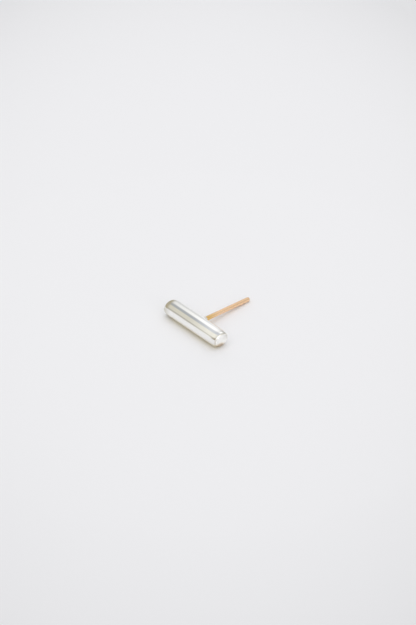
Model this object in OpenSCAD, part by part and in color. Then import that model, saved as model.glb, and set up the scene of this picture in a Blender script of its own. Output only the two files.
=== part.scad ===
// Bar stud earring: a short round silver bar with a straight ear post.
// The bar lies along X on the surface Z = 0, and the post slopes down along +Y
// until its tip touches the same surface.

/* [Bar] */
// Diameter of the round bar
bar_d = 3.2; // [2.4:0.1:6]
// Length of the bar from end face to end face
bar_l = 13.5; // [8:0.1:30]
// Radius of the soft edge round each end face
edge_r = 0.5; // [0.1:0.05:1]

/* [Post] */
// Diameter of the post wire
post_d = 0.8; // [0.6:0.05:1.2]
// How far the post stands from the middle of the bar, towards +X
post_shift = 0.2; // [-3:0.1:3]
// Length of the post from the back of the bar to its tip
post_l = 11.2; // [8:0.1:16]
// Diameter of the tapered foot of the post, at its end in the socket
foot_d = 0.55; // [0.3:0.05:0.55]
// Depth of the socket that the foot stands in, from the back of the bar
socket_depth = 0.9; // [0.5:0.05:1.4]
// Clearance between the foot and its socket, on the wall and on the floor
socket_gap = 0.02; // [0.01:0.01:0.05]

/* [Solder] */
// Radius of the hollow curve of the solder round the foot of the post
solder_r = 1.5; // [0.4:0.1:2]
// How far the solder spreads outwards over that curve
solder_w = 0.34; // [0.1:0.02:0.34]
// Thickness of the solder at its upper lip
solder_lip = 0.04; // [0.02:0.01:0.1]
// How deep the foot of the solder runs into the bar
solder_bite = 0.04; // [0.02:0.01:0.1]

/* [Hidden] */
$fn = 96;

bar_r = bar_d / 2;
post_r = post_d / 2;
foot_r = foot_d / 2;

// Heights along the post are measured from the axis of the bar
post_top = bar_r + post_l;
dome_start = post_top - post_r;
socket_floor = bar_r - socket_depth;
foot_end = socket_floor + socket_gap;
socket_r = post_r + socket_gap;

// The tilt that brings the round tip down to the surface the bar lies on
post_tilt = asin((bar_r - post_r) / dome_start);

// The origin is the middle of the bottom of the whole earring's box
tip_reach = dome_start * cos(post_tilt) + post_r;
bar_y = (bar_r - tip_reach) / 2;

// The solder curve starts at the lip and runs out under the round back of the bar
lip_r = socket_r + solder_lip;
solder_foot_r = lip_r + solder_w;
solder_foot = sqrt(bar_r ^ 2 - solder_foot_r ^ 2) - solder_bite;
solder_rise = sqrt(solder_r ^ 2 - (solder_r - solder_w) ^ 2);
solder_top = solder_foot + solder_rise;

// Moves a shape that stands on the Z axis onto the axis of the post
module on_post_axis() {
    translate([post_shift, bar_y, bar_r])
        rotate([-90 - post_tilt, 0, 0])
            children();
}

// Half of the bar's long section, with a round corner at each end
module bar_section() {
    intersection() {
        square([bar_r, bar_l]);
        union() {
            square([bar_r - edge_r, bar_l]);
            translate([0, edge_r])
                square([bar_r, bar_l - 2 * edge_r]);
            for (y = [edge_r, bar_l - edge_r])
                translate([bar_r - edge_r, y])
                    circle(r = edge_r);
        }
    }
}

// Half of the solder's section, hollowed by its curve
module solder_section() {
    difference() {
        square([solder_foot_r, solder_top]);
        translate([lip_r + solder_r, solder_top])
            circle(r = solder_r);
    }
}

// Half of the socket's section: it narrows from the lip of the solder to its floor
module socket_section() {
    polygon([
        [0, socket_floor],
        [foot_r + socket_gap, socket_floor],
        [socket_r, solder_top],
        [socket_r, post_top],
        [0, post_top]
    ]);
}

// Half of the post's section: tapered foot, straight wire and round tip
module post_section() {
    polygon([
        [0, foot_end],
        [foot_r, foot_end],
        [post_r, solder_top],
        [post_r, dome_start],
        [0, dome_start]
    ]);
    translate([0, dome_start])
        intersection() {
            circle(r = post_r);
            square([post_r, post_r]);
        }
}

module bar() {
    color("silver")
        difference() {
            union() {
                translate([-bar_l / 2, bar_y, bar_r])
                    rotate([0, 90, 0])
                        rotate_extrude()
                            bar_section();
                on_post_axis()
                    rotate_extrude()
                        solder_section();
            }
            on_post_axis()
                rotate_extrude()
                    socket_section();
        }
}

module post() {
    color("burlywood")
        on_post_axis()
            rotate_extrude()
                post_section();
}

bar();
post();
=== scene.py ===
import bpy
import bmesh
from math import atan2, ceil, copysign, cos, hypot, pi, radians, sin, sqrt
from mathutils import Matrix, Vector


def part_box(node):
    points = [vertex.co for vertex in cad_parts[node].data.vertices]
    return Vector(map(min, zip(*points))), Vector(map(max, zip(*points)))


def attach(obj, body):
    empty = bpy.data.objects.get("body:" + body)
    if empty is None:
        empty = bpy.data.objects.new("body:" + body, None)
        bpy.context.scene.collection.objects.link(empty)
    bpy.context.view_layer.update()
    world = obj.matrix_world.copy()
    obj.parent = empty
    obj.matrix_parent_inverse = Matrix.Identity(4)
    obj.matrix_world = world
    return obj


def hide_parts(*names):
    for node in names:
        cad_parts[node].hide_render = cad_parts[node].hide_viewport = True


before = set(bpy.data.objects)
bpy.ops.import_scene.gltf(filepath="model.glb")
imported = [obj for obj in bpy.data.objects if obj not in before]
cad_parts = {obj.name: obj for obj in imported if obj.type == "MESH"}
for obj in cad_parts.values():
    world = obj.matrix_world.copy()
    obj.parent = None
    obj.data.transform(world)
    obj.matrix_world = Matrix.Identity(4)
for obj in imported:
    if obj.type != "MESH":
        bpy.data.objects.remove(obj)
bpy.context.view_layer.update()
print("frame loaded")

mm = 0.001  # the pieces' own sizes are in millimetres, and placing a piece turns them into metres


# Sizes and places of the bar and the post, in millimetres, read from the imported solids
def measureFrame():
    barLow, barHigh = (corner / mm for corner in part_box("bar"))
    postLow, postHigh = (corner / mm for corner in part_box("post"))
    barRadius = (barHigh.z - barLow.z) / 2
    wireRadius = (postHigh.x - postLow.x) / 2
    axisY = barLow.y + barRadius
    reach = postHigh.y - wireRadius - axisY  # from the bar's axis to the middle of the round tip
    drop = barRadius - wireRadius
    tilt = atan2(drop, reach)
    return {
        "barLength": barHigh.x - barLow.x,
        "barRadius": barRadius,
        "wireRadius": wireRadius,
        "postShift": (postHigh.x + postLow.x) / 2,
        "domeStart": hypot(reach, drop),
        "tilt": tilt,
        "barMiddle": Vector((0, axisY, barRadius)),
        "barBack": barHigh.y - axisY,  # how far the solder stands behind the bar's axis
        "along": Vector((0, cos(tilt), -sin(tilt))),
    }


earring = measureFrame()


# One camera, at the photograph's angle to the earring
cameraView = {
    "azimuth": 47.1,
    "elevation": 37.8,
    "distance": 300.0,
    "lens": 100.0,
    "sensor": 36.0,
    "barX": 195.45,  # where the middle of the bar falls in the picture, in pixels
    "barY": 322.9,
    "pictureWidth": 416,
    "pictureHeight": 625,
    "clipStart": 0.01,  # in metres
    "clipEnd": 20.0,
}


def makeCamera(look):
    turn, lift = radians(look["azimuth"]), radians(look["elevation"])
    back = Vector((sin(turn) * cos(lift), -cos(turn) * cos(lift), sin(lift)))
    right = Vector((cos(turn), sin(turn), 0))
    up = back.cross(right)
    pixel = look["sensor"] / look["lens"] / look["pictureHeight"] * look["distance"]
    target = earring["barMiddle"].copy()
    target -= right * (look["barX"] - look["pictureWidth"] / 2) * pixel
    target += up * (look["barY"] - look["pictureHeight"] / 2) * pixel
    data = bpy.data.cameras.new("photoCamera")
    data.lens, data.sensor_width = look["lens"], look["sensor"]
    data.clip_start, data.clip_end = look["clipStart"], look["clipEnd"]
    camera = bpy.data.objects.new("photoCamera", data)
    camera.location = (target + back * look["distance"]) * mm
    camera.rotation_euler = (-back).to_track_quat("-Z", "Y").to_euler()
    bpy.context.scene.collection.objects.link(camera)
    bpy.context.scene.camera = camera
    print("camera placed")


makeCamera(cameraView)


# A socket is found by its place or, among those in use, by its name
def findSocket(sockets, key):
    if isinstance(key, int):
        return sockets[key]
    return next(s for s in sockets if s.enabled and s.name == key)


# Adds a node: a socket given as an input is linked, and anything else is set as its value
def addNode(tree, kind, inputs, **settings):
    node = tree.nodes.new(kind)
    for name, value in settings.items():
        setattr(node, name, value)
    for key, value in inputs.items():
        socket = findSocket(node.inputs, key)
        if isinstance(value, bpy.types.NodeSocket):
            tree.links.new(value, socket)
        else:
            socket.default_value = value
    return node


def calc(tree, operation, *values):
    return addNode(tree, "ShaderNodeMath", dict(enumerate(values)), operation=operation).outputs[0]


def vectorCalc(tree, operation, *values):
    node = addNode(tree, "ShaderNodeVectorMath", dict(enumerate(values)), operation=operation)
    return node.outputs["Vector"]


def mixColor(tree, factor, first, second):
    inputs = {"Factor": factor, "A": first, "B": second}
    node = addNode(tree, "ShaderNodeMix", inputs, data_type="RGBA")
    return findSocket(node.outputs, "Result")


# Maps one range of values to another and stops at both ends
def remap(tree, value, low, high, toLow=0.0, toHigh=1.0):
    inputs = {"Value": value, "From Min": low, "From Max": high, "To Min": toLow, "To Max": toHigh}
    return addNode(tree, "ShaderNodeMapRange", inputs).outputs["Result"]


def addSockets(tree, direction, sockets):
    made = {}
    for name, kind, value in sockets:
        socket = tree.interface.new_socket(name, in_out=direction, socket_type="NodeSocket" + kind)
        if value is not None:
            socket.default_value = value
        made[name] = socket.identifier
    return made


# The lathe: a tree that turns a half section about the X axis into a closed piece.
# Slow, very shallow waves keep the polished faces from looking perfectly even.
latheSizes = {"mergeGap": 0.0005, "waveDetail": 1.0}


def buildLathe():
    tree = bpy.data.node_groups.new("lathe", "GeometryNodeTree")
    names = addSockets(tree, "INPUT", [
        ("Half Section", "Geometry", None),
        ("Sides", "Int", 64),
        ("Wave Height", "Float", 0.0),
        ("Wave Length", "Float", 3.0),
        ("Wave Seed", "Float", 0.0),
        ("Finish", "Material", None),
    ])
    addSockets(tree, "OUTPUT", [("Turned Piece", "Geometry", None)])
    given = tree.nodes.new("NodeGroupInput").outputs
    stationCount = addNode(tree, "GeometryNodeAttributeDomainSize", {"Geometry": given["Half Section"]})
    around = addNode(tree, "FunctionNodeIntegerMath",
                     {0: given["Sides"], 1: 1}, operation="ADD").outputs[0]
    grid = addNode(tree, "GeometryNodeMeshGrid",
                   {"Vertices X": stationCount.outputs["Point Count"], "Vertices Y": around})
    index = tree.nodes.new("GeometryNodeInputIndex").outputs[0]
    station = addNode(tree, "FunctionNodeIntegerMath", {0: index, 1: around}, operation="DIVIDE_FLOOR")
    step = addNode(tree, "FunctionNodeIntegerMath", {0: index, 1: around}, operation="MODULO")
    place = tree.nodes.new("GeometryNodeInputPosition").outputs[0]
    sample = addNode(tree, "GeometryNodeSampleIndex", {
        "Geometry": given["Half Section"],
        "Index": station.outputs[0],
    }, data_type="FLOAT_VECTOR")
    tree.links.new(place, findSocket(sample.inputs, "Value"))
    point = addNode(tree, "ShaderNodeSeparateXYZ", {0: findSocket(sample.outputs, "Value")}).outputs
    angle = calc(tree, "MULTIPLY", calc(tree, "DIVIDE", step.outputs[0], given["Sides"]), 2 * pi)
    turned = addNode(tree, "ShaderNodeCombineXYZ", {
        "X": point["X"],
        "Y": calc(tree, "MULTIPLY", point["Y"], calc(tree, "COSINE", angle)),
        "Z": calc(tree, "MULTIPLY", point["Y"], calc(tree, "SINE", angle)),
    })
    shell = addNode(tree, "GeometryNodeSetPosition",
                    {"Geometry": grid.outputs["Mesh"], "Position": turned.outputs[0]})
    closed = addNode(tree, "GeometryNodeMergeByDistance",
                     {"Geometry": shell.outputs[0], "Distance": latheSizes["mergeGap"]})
    waves = addNode(tree, "ShaderNodeTexNoise", {
        "Vector": place,
        "W": given["Wave Seed"],
        "Scale": calc(tree, "DIVIDE", 1.0, given["Wave Length"]),
        "Detail": latheSizes["waveDetail"],
    }, noise_dimensions="4D")
    height = calc(tree, "MULTIPLY", calc(tree, "SUBTRACT", waves.outputs[0], 0.5), given["Wave Height"])
    outwards = tree.nodes.new("GeometryNodeInputNormal").outputs[0]
    offset = addNode(tree, "ShaderNodeVectorMath", {0: outwards, "Scale": height}, operation="SCALE")
    wavy = addNode(tree, "GeometryNodeSetPosition",
                   {"Geometry": closed.outputs[0], "Offset": offset.outputs["Vector"]})
    smooth = addNode(tree, "GeometryNodeSetShadeSmooth", {"Geometry": wavy.outputs[0]})
    real = addNode(tree, "GeometryNodeRealizeInstances", {"Geometry": smooth.outputs[0]})
    finished = addNode(tree, "GeometryNodeSetMaterial",
                       {"Geometry": real.outputs[0], "Material": given["Finish"]})
    result = tree.nodes.new("NodeGroupOutput")
    tree.links.new(finished.outputs[0], result.inputs[0])
    return tree, names


latheTree, latheInputs = buildLathe()


# Turns one half section, a list of (x, radius) points, and gives back the plain mesh
def turnPiece(name, section, finish, sizes):
    outline = bpy.data.meshes.new(name + "Section")
    edges = [(i, i + 1) for i in range(len(section) - 1)]
    outline.from_pydata([(x, radius, 0) for x, radius in section], edges, [])
    blank = bpy.data.objects.new(name + "Blank", outline)
    bpy.context.scene.collection.objects.link(blank)
    lathe = blank.modifiers.new("lathe", "NODES")
    lathe.node_group = latheTree
    lathe[latheInputs["Sides"]] = sizes["sides"]
    lathe[latheInputs["Wave Height"]] = sizes["waveHeight"]
    lathe[latheInputs["Wave Length"]] = sizes["waveLength"]
    lathe[latheInputs["Wave Seed"]] = sizes["waveSeed"]
    lathe[latheInputs["Finish"]] = finish
    mesh = bpy.data.meshes.new_from_object(blank.evaluated_get(bpy.context.evaluated_depsgraph_get()))
    mesh.name = name
    bpy.data.objects.remove(blank)
    return mesh


# Even steps from one value to another, none longer than the gap
def spaced(low, high, gap):
    count = ceil((high - low) / gap)
    return [low + (high - low) * i / count for i in range(count + 1)]


# Points on a round of the section, from one angle to another: above 2 the power makes it fuller
def roundPoints(centreX, centreRadius, reach, radius, start, end, steps, power=2.0):
    angles = [start + (end - start) * i / steps for i in range(steps + 1)]
    return [(centreX + reach * copysign(abs(cos(a)) ** (2 / power), cos(a)),
             centreRadius + radius * abs(sin(a)) ** (2 / power)) for a in angles]


flatFrom = 0.72  # a face whose normal has more than this along X counts as flat


# A map in millimetres: flat on faces that look along X, and unrolled round the rest
def mapFinish(mesh, radius):
    layer = mesh.uv_layers.new(name="finishMap")
    for face in mesh.polygons:
        flat = abs(face.normal.x) > flatFrom
        middle = atan2(face.center.y, -face.center.z)
        for loop in face.loop_indices:
            place = mesh.vertices[mesh.loops[loop].vertex_index].co
            if flat:
                layer.data[loop].uv = (place.x + place.y, place.z)
                continue
            angle = atan2(place.y, -place.z)
            angle += 2 * pi * round((middle - angle) / (2 * pi))
            layer.data[loop].uv = (place.x, angle * radius)


# Puts a turned piece in its place: its X and Z axes go where they are told, and millimetres become metres
def placePiece(mesh, xAxis, zAxis, origin, node):
    turn = Matrix((xAxis, zAxis.cross(xAxis), zAxis)).transposed().to_4x4()
    mesh.transform(Matrix.Scale(mm, 4) @ Matrix.Translation(origin) @ turn)
    work = bmesh.new()
    work.from_mesh(mesh)
    bmesh.ops.recalc_face_normals(work, faces=work.faces)
    work.to_mesh(mesh)
    work.free()
    piece = bpy.data.objects.new(mesh.name, mesh)
    bpy.context.scene.collection.objects.link(piece)
    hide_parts(node)
    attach(piece, "root")
    print(mesh.name, "placed with", len(mesh.polygons), "faces")


# Fine scratches: thin, long spots of noise, laid in a few directions over the map
scratchPattern = {
    "angles": (0.21, 0.94, 1.52, 2.37, 2.86),
    "threshold": 0.86,  # of the noise, where the amount is none
    "amountReach": 0.4,  # how far the full amount lowers it
    "softness": 0.1,
}


def buildScratches():
    tree = bpy.data.node_groups.new("fineScratches", "ShaderNodeTree")
    addSockets(tree, "INPUT", [
        ("Map", "Vector", None),
        ("Length", "Float", 2.0),
        ("Width", "Float", 0.05),
        ("Amount", "Float", 0.3),
        ("Seed", "Float", 0.0),
    ])
    addSockets(tree, "OUTPUT", [("Scratches", "Float", None)])
    given = tree.nodes.new("NodeGroupInput").outputs
    stretch = addNode(tree, "ShaderNodeCombineXYZ", {
        "X": calc(tree, "DIVIDE", 1.0, given["Length"]),
        "Y": calc(tree, "DIVIDE", 1.0, given["Width"]),
    }).outputs[0]
    lowered = calc(tree, "MULTIPLY", given["Amount"], scratchPattern["amountReach"])
    threshold = calc(tree, "SUBTRACT", scratchPattern["threshold"], lowered)
    full = calc(tree, "ADD", threshold, scratchPattern["softness"])
    deepest = 0.0
    for number, angle in enumerate(scratchPattern["angles"]):
        turned = addNode(tree, "ShaderNodeVectorRotate",
                         {"Vector": given["Map"], "Angle": angle}, rotation_type="Z_AXIS").outputs[0]
        line = addNode(tree, "ShaderNodeTexNoise", {
            "Vector": vectorCalc(tree, "MULTIPLY", turned, stretch),
            "W": calc(tree, "ADD", given["Seed"], float(number)),
            "Scale": 1.0,
            "Detail": 0.0,
        }, noise_dimensions="4D").outputs[0]
        deepest = calc(tree, "MAXIMUM", deepest, remap(tree, line, threshold, full))
    result = tree.nodes.new("NodeGroupOutput")
    tree.links.new(deepest, result.inputs[0])
    return tree


# Haze from handling: soft patches where the polish has gone a little dull
hazePattern = {"detail": 4.0, "roughness": 0.6, "softness": 0.18}


def buildHaze():
    tree = bpy.data.node_groups.new("handlingHaze", "ShaderNodeTree")
    addSockets(tree, "INPUT", [
        ("Place", "Vector", None),
        ("Patch Size", "Float", 0.002),
        ("Cover", "Float", 0.5),
        ("Seed", "Float", 0.0),
    ])
    addSockets(tree, "OUTPUT", [("Haze", "Float", None)])
    given = tree.nodes.new("NodeGroupInput").outputs
    patches = addNode(tree, "ShaderNodeTexNoise", {
        "Vector": given["Place"],
        "W": given["Seed"],
        "Scale": calc(tree, "DIVIDE", 1.0, given["Patch Size"]),
        "Detail": hazePattern["detail"],
        "Roughness": hazePattern["roughness"],
    }, noise_dimensions="4D").outputs[0]
    edge = calc(tree, "SUBTRACT", 1.0, given["Cover"])
    begins = calc(tree, "SUBTRACT", edge, hazePattern["softness"])
    haze = remap(tree, patches, begins, calc(tree, "ADD", edge, hazePattern["softness"]))
    result = tree.nodes.new("NodeGroupOutput")
    tree.links.new(haze, result.inputs[0])
    return tree


scratchTree, hazeTree = buildScratches(), buildHaze()
print("shared finishes built")


def addGroup(tree, group, inputs):
    node = tree.nodes.new("ShaderNodeGroup")
    node.node_tree = group
    for name, value in inputs.items():
        if isinstance(value, bpy.types.NodeSocket):
            tree.links.new(value, node.inputs[name])
        else:
            node.inputs[name].default_value = value
    return node.outputs[0]


def newMaterial(name):
    material = bpy.data.materials.new(name)
    material.use_nodes = True
    tree = material.node_tree
    shader = tree.nodes["Principled BSDF"]
    return material, tree, shader


# Polished silver. The length and width of its scratches are in millimetres, like the map they lie on,
# and all its other sizes are in metres, in the piece's own coordinates.
silverLook = {
    "clean": (0.962, 0.96, 0.945, 1),
    "hazy": (0.928, 0.914, 0.885, 1),
    "solder": (0.94, 0.90, 0.86, 1),
    # painted shade: the rounded rim of each end is coloured darker, for the dark reflections along it
    "edge": (0.80, 0.77, 0.70, 1),
    "paintedFaceShade": (0.80, 0.79, 0.77, 1),
    "faceShadeBehind": (0.0, 0.0009),  # painted shade: the end face is coloured darker from the bar's axis towards its back, and towards its top
    "faceShadeUp": (0.0012, 0.0022),
    # painted shade: a warm, darker tint low on the bar, strongest under its front, for the warm shade
    # along its lower edge
    "lowShade": (0.98, 0.90, 0.62, 1),
    "warmLowShade": (0.98, 0.83, 0.56, 1),
    "lowShadeFrom": 0.0013,  # heights above the surface
    "lowShadeFull": 0.0005,
    "lowShadeUneven": 0.0001,
    "lowShadeSlope": 0.6,  # how much sooner it ends behind the bar's axis
    "lowEndDarkening": [  # darker patches low at each end: colour, then where each begins and is full along X and up
        # a darker patch low at the far end
        ((0.62, 0.60, 0.51, 1), (-0.0048, -0.0066), (0.0027, 0.0019)),
        # painted shade: a dark brown patch at the bottom of the near end, for the dark reflection of the
        # shade under it
        ((0.54, 0.43, 0.34, 1), (0.0061, 0.0065), (0.0012, 0.0006)),
    ],
    "roughness": 0.05,
    "hazeRoughness": 0.07,
    "scratchRoughness": 0.16,
    "solderRoughness": 0.35,
    "faceRoughness": 0.5,
    "lowShadeRoughness": 0.14,
    "hazeSize": 0.0021,
    "hazeCover": 0.45,
    "hazeSeed": 8.0,
    "scratchLength": 2.4,
    "scratchWidth": 0.05,
    "scratchAmount": 0.34,
    "scratchSeed": 3.0,
    "scratchDepth": 0.0000012,
    "grainSize": 0.00007,
    "grainDetail": 3.0,
    "grainDepth": 0.0000025,
}


def makeSilver(look):
    material, tree, shader = newMaterial("polishedSilver")
    unrolled = addNode(tree, "ShaderNodeUVMap", {}, uv_map="finishMap").outputs[0]
    place = tree.nodes.new("ShaderNodeTexCoord").outputs["Object"]
    solder = addNode(tree, "ShaderNodeAttribute", {}, attribute_name="solder").outputs["Fac"]
    scratches = addGroup(tree, scratchTree, {
        "Map": unrolled,
        "Length": look["scratchLength"],
        "Width": look["scratchWidth"],
        "Amount": look["scratchAmount"],
        "Seed": look["scratchSeed"],
    })
    haze = addGroup(tree, hazeTree, {
        "Place": place,
        "Patch Size": look["hazeSize"],
        "Cover": look["hazeCover"],
        "Seed": look["hazeSeed"],
    })
    grain = addNode(tree, "ShaderNodeTexNoise", {
        "Vector": place,
        "Scale": 1 / look["grainSize"],
        "Detail": look["grainDetail"],
    }).outputs[0]
    color = mixColor(tree, haze, look["clean"], look["hazy"])
    color = mixColor(tree, solder, color, look["solder"])
    # Painted shade: the rim of each end takes a darker colour where its reflections look dark
    edge = addNode(tree, "ShaderNodeAttribute", {}, attribute_name="edge").outputs["Fac"]
    face = addNode(tree, "ShaderNodeAttribute", {}, attribute_name="face").outputs["Fac"]
    color = mixColor(tree, edge, color, look["edge"])
    x, y, z = addNode(tree, "ShaderNodeSeparateXYZ", {0: place}).outputs
    behind = calc(tree, "SUBTRACT", y, earring["barMiddle"].y * mm)
    # Painted shade: the end face is coloured darker towards its upper back corner, where its reflection
    # shows shade
    faceShadeBack = calc(tree, "MULTIPLY", face, remap(tree, behind, *look["faceShadeBehind"]))
    faceShadeCorner = calc(tree, "MULTIPLY", faceShadeBack, remap(tree, z, *look["faceShadeUp"]))
    color = mixColor(tree, faceShadeCorner, color, look["paintedFaceShade"])
    # Painted shade: a warm, darker tint towards the bottom of the bar, for the warm shade along its lower
    # edge
    height = calc(tree, "MULTIPLY_ADD", calc(tree, "MAXIMUM", behind, 0.0), look["lowShadeSlope"], z)
    uneven = calc(tree, "MULTIPLY_ADD", haze, look["lowShadeUneven"], height)
    lowShade = remap(tree, uneven, look["lowShadeFrom"], look["lowShadeFull"])
    color = mixColor(tree, lowShade, color, mixColor(tree, haze, look["lowShade"], look["warmLowShade"]))
    # Darker patches low at each end; the one at the near end is painted shade
    for tint, along, up in look["lowEndDarkening"]:
        endDarkening = calc(tree, "MULTIPLY", remap(tree, x, *along), remap(tree, height, *up))
        color = mixColor(tree, endDarkening, color, tint)
    tree.links.new(color, shader.inputs["Base Color"])
    roughness = calc(tree, "MULTIPLY_ADD", haze, look["hazeRoughness"], look["roughness"])
    roughness = calc(tree, "MULTIPLY_ADD", scratches, look["scratchRoughness"], roughness)
    roughness = calc(tree, "MULTIPLY_ADD", solder, look["solderRoughness"], roughness)
    satin = calc(tree, "MULTIPLY", face, calc(tree, "SUBTRACT", 1.0, lowShade))
    roughness = calc(tree, "MULTIPLY_ADD", satin, look["faceRoughness"], roughness)
    roughness = calc(tree, "MULTIPLY_ADD", lowShade, look["lowShadeRoughness"], roughness)
    tree.links.new(roughness, shader.inputs["Roughness"])
    scored = addNode(tree, "ShaderNodeBump", {
        "Height": calc(tree, "MULTIPLY", scratches, -1.0),
        "Distance": look["scratchDepth"],
        "Strength": 1.0,
    })
    pitted = addNode(tree, "ShaderNodeBump", {
        "Height": calc(tree, "MULTIPLY", grain, solder),
        "Distance": look["grainDepth"],
        "Strength": 1.0,
        "Normal": scored.outputs[0],
    })
    tree.links.new(pitted.outputs[0], shader.inputs["Normal"])
    shader.inputs["Metallic"].default_value = 1.0
    return material


# Drawn gold-coloured wire, with fine lines along it and the stain of the soldering near its foot.
# What lies on the map is in millimetres, and the haze and the depths are in metres.
goldLook = {
    "bright": (0.98, 0.71, 0.47, 1),
    "deep": (0.94, 0.62, 0.37, 1),
    "heated": (0.76, 0.49, 0.15, 1),
    "deepLines": (0.3, 0.75),  # from where to where in the lines' noise the colour gets deeper
    "lineShare": 0.5,
    "hazeShare": 0.5,
    "heatReach": 3.0,  # how far the stain runs up the wire
    "heatUneven": 0.5,
    "roughness": 0.2,
    "lineRoughness": 0.14,
    "heatRoughness": 0.08,
    "lineLength": 1.6,
    "lineWidth": 0.035,
    "lineDetail": 2.0,
    "lineDepth": 0.0000022,
    "hazeSize": 0.0013,
    "hazeCover": 0.5,
    "hazeSeed": 21.0,
    "scratchLength": 1.1,
    "scratchWidth": 0.04,
    "scratchAmount": 0.22,
    "scratchSeed": 14.0,
    "scratchDepth": 0.000001,
}


def makeGold(look, solderTop):
    material, tree, shader = newMaterial("goldFilledWire")
    unrolled = addNode(tree, "ShaderNodeUVMap", {}, uv_map="finishMap").outputs[0]
    place = tree.nodes.new("ShaderNodeTexCoord").outputs["Object"]
    stretched = vectorCalc(tree, "MULTIPLY", unrolled, (1 / look["lineLength"], 1 / look["lineWidth"], 0))
    lines = addNode(tree, "ShaderNodeTexNoise", {
        "Vector": stretched,
        "Scale": 1.0,
        "Detail": look["lineDetail"],
    }, noise_dimensions="2D").outputs[0]
    scratches = addGroup(tree, scratchTree, {
        "Map": unrolled,
        "Length": look["scratchLength"],
        "Width": look["scratchWidth"],
        "Amount": look["scratchAmount"],
        "Seed": look["scratchSeed"],
    })
    haze = addGroup(tree, hazeTree, {
        "Place": place,
        "Patch Size": look["hazeSize"],
        "Cover": look["hazeCover"],
        "Seed": look["hazeSeed"],
    })
    distance = addNode(tree, "ShaderNodeSeparateXYZ", {0: unrolled}).outputs["X"]
    uneven = calc(tree, "MULTIPLY_ADD", haze, look["heatUneven"], distance)
    heat = remap(tree, uneven, solderTop, solderTop + look["heatReach"], 1.0, 0.0)
    deepLines = remap(tree, lines, *look["deepLines"], 0.0, look["lineShare"])
    depth = calc(tree, "MULTIPLY_ADD", haze, look["hazeShare"], deepLines)
    color = mixColor(tree, heat, mixColor(tree, depth, look["bright"], look["deep"]), look["heated"])
    tree.links.new(color, shader.inputs["Base Color"])
    roughness = calc(tree, "MULTIPLY_ADD", lines, look["lineRoughness"], look["roughness"])
    roughness = calc(tree, "MULTIPLY_ADD", heat, look["heatRoughness"], roughness)
    tree.links.new(roughness, shader.inputs["Roughness"])
    drawn = addNode(tree, "ShaderNodeBump",
                    {"Height": lines, "Distance": look["lineDepth"], "Strength": 1.0})
    scored = addNode(tree, "ShaderNodeBump", {
        "Height": calc(tree, "MULTIPLY", scratches, -1.0),
        "Distance": look["scratchDepth"],
        "Strength": 1.0,
        "Normal": drawn.outputs[0],
    })
    tree.links.new(scored.outputs[0], shader.inputs["Normal"])
    shader.inputs["Metallic"].default_value = 1.0
    return material


# The bar: turned with a soft edge at each end, then shaped round the foot of the post
barSizes = {
    "edgeRadius": 0.5,
    "edgeReach": 1.9,  # how far along the bar the soft edge begins
    "edgePower": 3.0,  # above 2 the edge is fuller than an oval
    "edgeSteps": 36,
    "faceGap": 0.3,
    "stationGap": 0.4,
    "edgeSupport": 0.05,
    "endLean": 0.14,  # a slope, so 0.14 is about 8 degrees
    "leanTurn": 46.9,
    "leanReach": 2.5,
    "edgeTurns": (0.3, 0.6, 0.94, 0.995),  # where the rim with its painted shade, then the filed face, begins and is full
    "sides": 256,
    "waveHeight": 0.016,
    "waveLength": 3.2,
    "waveSeed": 5.0,
}
# Rings of the bar's own grid round the post, counted outwards: the floor of the socket that the foot of
# the post stands in, one ring for its mouth, the solder's lip and curve down to its toe, and a window in
# which circles on the bar turn into squares
solderSizes = {
    "windowRing": 24,
    "toeRing": 16,
    "lipRing": 8,
    "floorRing": 6,
    "lipRadius": 0.45,
    "mouthRadius": 0.404,
    "floorRadius": 0.297,
    "socketDepth": 0.9,
    "curveRadius": 1.5,
    "spread": 0.34,
    "softness": 0.05,
    "mouthRise": 0.003,  # above the top of the solder's curve
    "lumps": ((0.035, 3, 1.1), (0.02, 5, 2.4)),  # share of the radius, times round, turn
    "maskFade": 4,  # rings over which the solder's finish fades into the bar's
}


def barSection(sizes, solder):
    half, radius, edge = earring["barLength"] / 2, earring["barRadius"], sizes["edgeRadius"]
    cell = 2 * pi * radius / sizes["sides"]
    window = cell * solder["windowRing"]
    shift = earring["postShift"]
    face = [(-half, r) for r in spaced(0, radius - edge, sizes["faceGap"])]
    face.insert(-1, (-half, radius - edge - sizes["edgeSupport"]))
    reach = sizes["edgeReach"]
    corner = roundPoints(-half + reach, radius - edge, reach, edge, pi, pi / 2, sizes["edgeSteps"],
                         sizes["edgePower"])
    end = face[:-1] + corner + [(-half + reach + sizes["edgeSupport"], radius)]
    low, high = end[-1][0], -end[-1][0]
    stations = spaced(low, shift - window, sizes["stationGap"])[1:-1]
    stations += [shift + cell * i for i in range(-solder["windowRing"], solder["windowRing"] + 1)]
    stations += spaced(shift + window, high, sizes["stationGap"])[1:-1]
    return end + [(x, radius) for x in stations] + [(-x, r) for x, r in reversed(end)]


# The larger of two heights, with a soft change from one to the other
def softMaximum(first, second, softness):
    near = max(softness - abs(first - second), 0) / softness
    return max(first, second) + near * near * softness / 4


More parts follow.
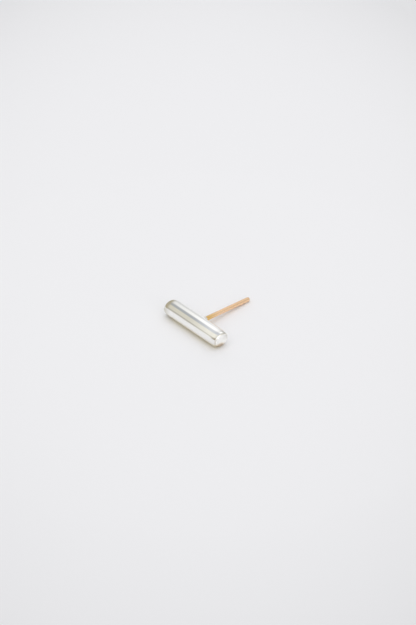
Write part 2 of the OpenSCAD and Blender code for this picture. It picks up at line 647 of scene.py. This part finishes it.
# Where a vertex of the window goes: (a, b) counts the cells from the post along and round the bar
def solderPoint(a, b, place, solder, top):
    radius, shift = earring["barRadius"], earring["postShift"]
    ring, angle = max(abs(a), abs(b)), atan2(b, a)
    cosToe = 1 - solder["spread"] / solder["curveRadius"]
    toeTurn = atan2(sqrt(1 - cosToe ** 2), cosToe)
    toeRadius = solder["lipRadius"] + solder["spread"]
    uneven = 1 + sum(size * sin(times * angle + turn) for size, times, turn in solder["lumps"])
    if ring >= solder["toeRing"]:
        window = 2 * pi * radius / barSizes["sides"] * solder["windowRing"]
        share = (ring - solder["toeRing"]) / (solder["windowRing"] - solder["toeRing"])
        reach = (toeRadius + (window - toeRadius) * share) * (1 + (uneven - 1) * (1 - share))
        across = reach * sin(angle)
        circle = Vector((shift + reach * cos(angle), across, sqrt(radius ** 2 - across ** 2)))
        return circle.lerp(place, share ** 2 * (3 - 2 * share))
    if ring >= solder["lipRing"]:
        share = (ring - solder["lipRing"]) / (solder["toeRing"] - solder["lipRing"])
        turn = toeTurn * share
        reach = solder["lipRadius"] + solder["curveRadius"] * (1 - cos(turn))
        reach *= 1 + (uneven - 1) * share
        across = reach * sin(angle)
        curve = top - solder["curveRadius"] * sin(turn)
        height = softMaximum(curve, sqrt(radius ** 2 - across ** 2), solder["softness"])
        return Vector((shift + reach * cos(angle), across, height))
    reach, height = solder["mouthRadius"], top + solder["mouthRise"]
    if ring <= solder["floorRing"]:
        reach = solder["floorRadius"] * ring / solder["floorRing"]
        height = radius - solder["socketDepth"]
    return Vector((shift + reach * cos(angle), reach * sin(angle), height))


def shapeSolder(mesh, solder):
    radius, shift = earring["barRadius"], earring["postShift"]
    step = 2 * pi / barSizes["sides"]
    top = (earring["barBack"] - solder["lipRadius"] * sin(earring["tilt"])) / cos(earring["tilt"])
    mask = mesh.attributes.new("solder", "FLOAT", "POINT")
    for number, vertex in enumerate(mesh.vertices):
        x, y, z = vertex.co
        a, b = round((x - shift) / (step * radius)), round(atan2(y, z) / step)
        ring = max(abs(a), abs(b))
        if ring > solder["windowRing"]:
            continue
        vertex.co = solderPoint(a, b, vertex.co, solder, top)
        mask.data[number].value = min(max((solder["toeRing"] + 1 - ring) / solder["maskFade"], 0), 1)
    print("solder shaped up to", round(top, 3), "mm from the bar's axis")
    return top


def softStep(value, low, high):
    share = min(max((value - low) / (high - low), 0), 1)
    return share * share * (3 - 2 * share)


# Marks the rounded rim, where a darker shade is painted, and the filed face of each end, by how far the
# surface has turned towards X
def markEnds(mesh, sizes):
    edge = mesh.attributes.new("edge", "FLOAT", "POINT")
    face = mesh.attributes.new("face", "FLOAT", "POINT")
    edgeLow, edgeFull, edgeFrom, edgeTo = sizes["edgeTurns"]
    for number, vertex in enumerate(mesh.vertices):
        if abs(vertex.co.x) < earring["barLength"] / 2 - sizes["edgeReach"]:
            continue
        turn = abs(vertex.normal.x)
        face.data[number].value = softStep(turn, edgeFrom, edgeTo)
        edge.data[number].value = softStep(turn, edgeLow, edgeFull) * (1 - face.data[number].value)


# Both ends lean a little the same way, as cutting by hand leaves them, and stay within the bar's length
def leanEnds(mesh, sizes):
    half, turn = earring["barLength"] / 2, radians(sizes["leanTurn"])
    for side in (-1, 1):
        moved = []
        for vertex in mesh.vertices:
            x, y, z = vertex.co
            share = softStep(side * x, half - sizes["leanReach"], half)
            if share > 0:
                lean = sizes["endLean"] * (z * cos(turn) - y * sin(turn))
                moved.append((vertex, share, x + lean * share))
        excess = max(side * x for vertex, share, x in moved) - half
        for vertex, share, x in moved:
            vertex.co.x = x - side * excess * share


silver = makeSilver(silverLook)
barMesh = turnPiece("silverBar", barSection(barSizes, solderSizes), silver, barSizes)
markEnds(barMesh, barSizes)
leanEnds(barMesh, barSizes)
solderTop = shapeSolder(barMesh, solderSizes)
mapFinish(barMesh, earring["barRadius"])
placePiece(barMesh, Vector((1, 0, 0)), earring["along"], earring["barMiddle"], "bar")


# The post: straight wire with a round tip and a tapered foot in the socket
postSizes = {
    "footRadius": 0.275,
    "footGap": 0.02,
    "stationGap": 0.35,
    "tipSteps": 12,
    "sides": 72,
    "waveHeight": 0.008,
    "waveLength": 2.2,
    "waveSeed": 11.0,
}


def postSection(sizes, solder):
    footEnd = earring["barRadius"] - solder["socketDepth"] + sizes["footGap"]
    radius, tipStart = earring["wireRadius"], earring["domeStart"]
    foot = [(footEnd, 0), (footEnd, sizes["footRadius"])]
    straight = [(x, radius) for x in spaced(solderTop, tipStart, sizes["stationGap"])]
    tip = roundPoints(tipStart, 0, radius, radius, pi / 2, 0, sizes["tipSteps"])
    return foot + straight[:-1] + tip


gold = makeGold(goldLook, solderTop)
postMesh = turnPiece("earPost", postSection(postSizes, solderSizes), gold, postSizes)
mapFinish(postMesh, earring["wireRadius"])
postFoot = earring["barMiddle"] + Vector((earring["postShift"], 0, 0))
placePiece(postMesh, earring["along"], Vector((1, 0, 0)), postFoot, "post")


# A pale matt floor, in metres, with a painted pool of light: its colour is lighter in an oval round the
# earring and darker outside it
floorLook = {
    "reach": 3.0,
    "middle": (0.891, 0.891, 0.909, 1),
    "outer": (0.784, 0.784, 0.80, 1),
    "ovalTurn": 47.1,
    "ovalMiddle": (-0.0048, 0.0293),  # along the oval's two axes
    "ovalRadii": (0.068, 0.1155),
    "fadePower": 4.0,
    "roughness": 0.9,
    "specular": 0.15,
}


def makeFloor(look):
    mesh = bpy.data.meshes.new("floor")
    reach = look["reach"]
    mesh.from_pydata([(-reach, -reach, 0), (reach, -reach, 0), (reach, reach, 0), (-reach, reach, 0)],
                     [], [(0, 1, 2, 3)])
    material, tree, shader = newMaterial("paleFloor")
    place = tree.nodes.new("ShaderNodeTexCoord").outputs["Object"]
    turned = addNode(tree, "ShaderNodeVectorRotate", {
        "Vector": place,
        "Angle": -radians(look["ovalTurn"]),
    }, rotation_type="Z_AXIS").outputs[0]
    centred = vectorCalc(tree, "SUBTRACT", turned, (*look["ovalMiddle"], 0))
    oval = vectorCalc(tree, "DIVIDE", centred, (*look["ovalRadii"], 1))
    away = addNode(tree, "ShaderNodeVectorMath", {0: oval}, operation="LENGTH").outputs["Value"]
    # Painted light: the floor's colour falls off from the oval's middle to its outer tone
    paintedFalloff = calc(tree, "MINIMUM", calc(tree, "POWER", away, look["fadePower"]), 1.0)
    tree.links.new(mixColor(tree, paintedFalloff, look["middle"], look["outer"]), shader.inputs["Base Color"])
    shader.inputs["Roughness"].default_value = look["roughness"]
    shader.inputs["Specular IOR Level"].default_value = look["specular"]
    mesh.materials.append(material)
    floor = bpy.data.objects.new("floor", mesh)
    bpy.context.scene.collection.objects.link(floor)


makeFloor(floorLook)


# Soft studio light: a grey sky and one softbox light the floor, and a small dome round the earring is
# what the polished metal reflects. A slice of the sky or the dome stands at a share of the way from its
# left end (-1) to its right end (1). It changes with the angle over the bar: 0 is level in front, 90 is
# overhead and 180 level behind. The camera sees neither of them, only the backdrop beyond the floor.
studioLook = {
    "backdrop": (0.71, 0.71, 0.72, 1),
    "skyAngles": (0, 40, 80, 120, 160),
    "sky": [
        (-0.7, (0.3, 0.5, 0.9, 1.1, 0.7)),
        (0, (0.1, 0.8, 1.8, 1.3, 0.4)),
        (0.7, (0.0, 0.8, 1.2, 0.4, 0.1)),
    ],
    "softboxPower": 0.072,
    "softboxWidth": 0.45,  # in metres, like its place
    "softboxPlace": (0.05, 0.2, 0.46),
    "domeRadius": 50.0,  # in millimetres
    "domeSides": 96,
    "dome": [
        (-0.78, [
            (0, (0.48, 0.43, 0.32)),
            (90, (0.42, 0.38, 0.29)),
            (150, (0.42, 0.39, 0.30)),
            (180, (0.52, 0.50, 0.44)),
        ]),
        (-0.68, [
            (0, (0.76, 0.75, 0.72)),
            (7, (0.74, 0.72, 0.68)),
            (11, (0.42, 0.40, 0.36)),
            (19, (0.42, 0.40, 0.36)),
            (24, (0.65, 0.62, 0.53)),
            (65, (0.67, 0.64, 0.54)),
            (73, (0.40, 0.42, 0.41)),
            (94, (0.42, 0.44, 0.45)),
            (108, (0.76, 0.76, 0.75)),
            (140, (0.76, 0.76, 0.75)),
            (147, (0.68, 0.69, 0.68)),
            (180, (0.66, 0.67, 0.67)),
        ]),
        (-0.56, [
            (0, (0.80, 0.80, 0.78)),
            (7, (0.80, 0.79, 0.76)),
            (11, (0.44, 0.42, 0.38)),
            (19, (0.44, 0.42, 0.38)),
            (24, (0.70, 0.68, 0.60)),
            (65, (0.72, 0.70, 0.62)),
            (73, (0.43, 0.45, 0.47)),
            (95, (0.45, 0.47, 0.51)),
            (110, (1.02, 1.02, 1.02)),
            (141, (1.02, 1.02, 1.02)),
            (149, (0.76, 0.77, 0.77)),
            (180, (0.72, 0.73, 0.73)),
        ]),
        (-0.5, [
            (0, (0.9, 0.9, 0.88)),
            (7, (0.9, 0.9, 0.87)),
            (11, (0.64, 0.62, 0.56)),
            (19, (0.64, 0.62, 0.56)),
            (24, (0.86, 0.84, 0.77)),
            (65, (0.90, 0.88, 0.81)),
            (73, (0.67, 0.69, 0.72)),
            (95, (0.70, 0.72, 0.75)),
            (111, (1.12, 1.12, 1.14)),
            (140, (1.12, 1.12, 1.14)),
            (149, (0.92, 0.92, 0.93)),
            (180, (0.85, 0.86, 0.86)),
        ]),
        (-0.25, [
            (0, (0.7, 0.7, 0.68)),
            (6, (0.48, 0.44, 0.38)),
            (16, (0.48, 0.44, 0.38)),
            (26, (0.90, 0.88, 0.80)),
            (62, (0.95, 0.93, 0.85)),
            (76, (0.60, 0.62, 0.66)),
            (98, (0.60, 0.62, 0.66)),
            (112, (0.90, 0.90, 0.90)),
            (136, (0.80, 0.80, 0.80)),
            (155, (0.44, 0.44, 0.42)),
            (180, (0.40, 0.40, 0.38)),
        ]),
        (-0.05, [
            (0, (0.45, 0.41, 0.34)),
            (17, (0.42, 0.38, 0.31)),
            (28, (0.88, 0.86, 0.78)),
            (62, (0.88, 0.86, 0.78)),
            (78, (0.61, 0.62, 0.66)),
            (98, (0.62, 0.63, 0.67)),
            (114, (1.2, 1.2, 1.2)),
            (142, (1.2, 1.2, 1.2)),
            (156, (0.56, 0.56, 0.54)),
            (180, (0.46, 0.46, 0.44)),
        ]),
        (0.2, [
            (0, (0.34, 0.29, 0.22)),
            (18, (0.34, 0.29, 0.22)),
            (30, (0.74, 0.73, 0.67)),
            (62, (0.76, 0.75, 0.71)),
            (80, (0.62, 0.63, 0.66)),
            (98, (0.64, 0.65, 0.68)),
            (120, (0.84, 0.84, 0.84)),
            (150, (0.60, 0.60, 0.58)),
            (180, (0.50, 0.50, 0.48)),
        ]),
        (0.62, [
            (0, (1.0, 1.0, 0.98)),
            (45, (0.9, 0.9, 0.88)),
            (90, (0.90, 0.91, 0.92)),
            (130, (0.74, 0.74, 0.74)),
            (180, (0.70, 0.70, 0.70)),
        ]),
        (0.9, [
            (0, (2.6, 2.6, 2.58)),
            (60, (2.4, 2.4, 2.38)),
            (120, (0.9, 0.9, 0.9)),
            (180, (0.75, 0.75, 0.75)),
        ]),
    ],
}


# A new ramp has two stops already, and takes the others one by one
def makeRamp(tree, factor, stops):
    ramp = addNode(tree, "ShaderNodeValToRGB", {"Fac": factor})
    elements = ramp.color_ramp.elements
    for number, (position, color) in enumerate(stops):
        element = elements[number] if number < 2 else elements.new(position)
        element.position, element.color = position, (*color, 1)
    return ramp.outputs["Color"]


# A colour by the angle over the bar, from 0 level in front to 180 level behind
def overhead(tree, y, z, stops):
    turn = calc(tree, "DIVIDE", calc(tree, "ARCTAN2", z, calc(tree, "MULTIPLY", y, -1.0)), pi)
    return makeRamp(tree, turn, [(angle / 180, color) for angle, color in stops])


# The colour of a whole dome: each slice blends into the next one along X
def slicedColor(tree, towards, slices):
    x, y, z = addNode(tree, "ShaderNodeSeparateXYZ", {0: towards}).outputs
    made = [(share, overhead(tree, y, z, stops)) for share, stops in slices]
    color = made[0][1]
    for (low, _), (high, after) in zip(made, made[1:]):
        color = mixColor(tree, remap(tree, x, low, high), color, after)
    return color


def makeSky(look):
    world = bpy.data.worlds.new("studio")
    bpy.context.scene.world = world
    world.use_nodes = True
    world.cycles_visibility.glossy = False
    tree = world.node_tree
    tree.nodes.clear()
    towards = tree.nodes.new("ShaderNodeTexCoord").outputs["Generated"]
    slices = [(share, [(angle, (grey, grey, grey)) for angle, grey in zip(look["skyAngles"], greys)])
              for share, greys in look["sky"]]
    seen = tree.nodes.new("ShaderNodeLightPath").outputs["Is Camera Ray"]
    color = mixColor(tree, seen, slicedColor(tree, towards, slices), look["backdrop"])
    background = addNode(tree, "ShaderNodeBackground", {"Color": color})
    result = tree.nodes.new("ShaderNodeOutputWorld")
    tree.links.new(background.outputs[0], result.inputs["Surface"])


def makeDome(look):
    mesh = bpy.data.meshes.new("reflectedDome")
    work = bmesh.new()
    bmesh.ops.create_uvsphere(work, u_segments=look["domeSides"], v_segments=look["domeSides"] // 2,
                              radius=look["domeRadius"] * mm)
    work.to_mesh(mesh)
    work.free()
    material = bpy.data.materials.new("domeLight")
    material.use_nodes = True
    tree = material.node_tree
    tree.nodes.clear()
    place = tree.nodes.new("ShaderNodeTexCoord").outputs["Object"]
    towards = addNode(tree, "ShaderNodeVectorMath", {0: place}, operation="NORMALIZE").outputs["Vector"]
    emission = addNode(tree, "ShaderNodeEmission", {"Color": slicedColor(tree, towards, look["dome"])})
    result = tree.nodes.new("ShaderNodeOutputMaterial")
    tree.links.new(emission.outputs[0], result.inputs["Surface"])
    material.cycles.emission_sampling = "NONE"
    mesh.materials.append(material)
    dome = bpy.data.objects.new("reflectedDome", mesh)
    dome.location = earring["barMiddle"] * mm
    dome.visible_camera = dome.visible_diffuse = dome.visible_shadow = False
    dome.visible_transmission = dome.visible_volume_scatter = False
    bpy.context.scene.collection.objects.link(dome)


def makeStudio(look):
    makeSky(look)
    makeDome(look)
    light = bpy.data.lights.new("softbox", "AREA")
    light.size, light.energy = look["softboxWidth"], look["softboxPower"]
    softbox = bpy.data.objects.new("softbox", light)
    softbox.location = look["softboxPlace"]
    softbox.rotation_euler = softbox.location.to_track_quat("Z", "Y").to_euler()
    softbox.visible_camera = softbox.visible_glossy = False
    bpy.context.scene.collection.objects.link(softbox)
    bpy.context.scene.view_settings.view_transform = "Standard"
    print("studio lit")


makeStudio(studioLook)
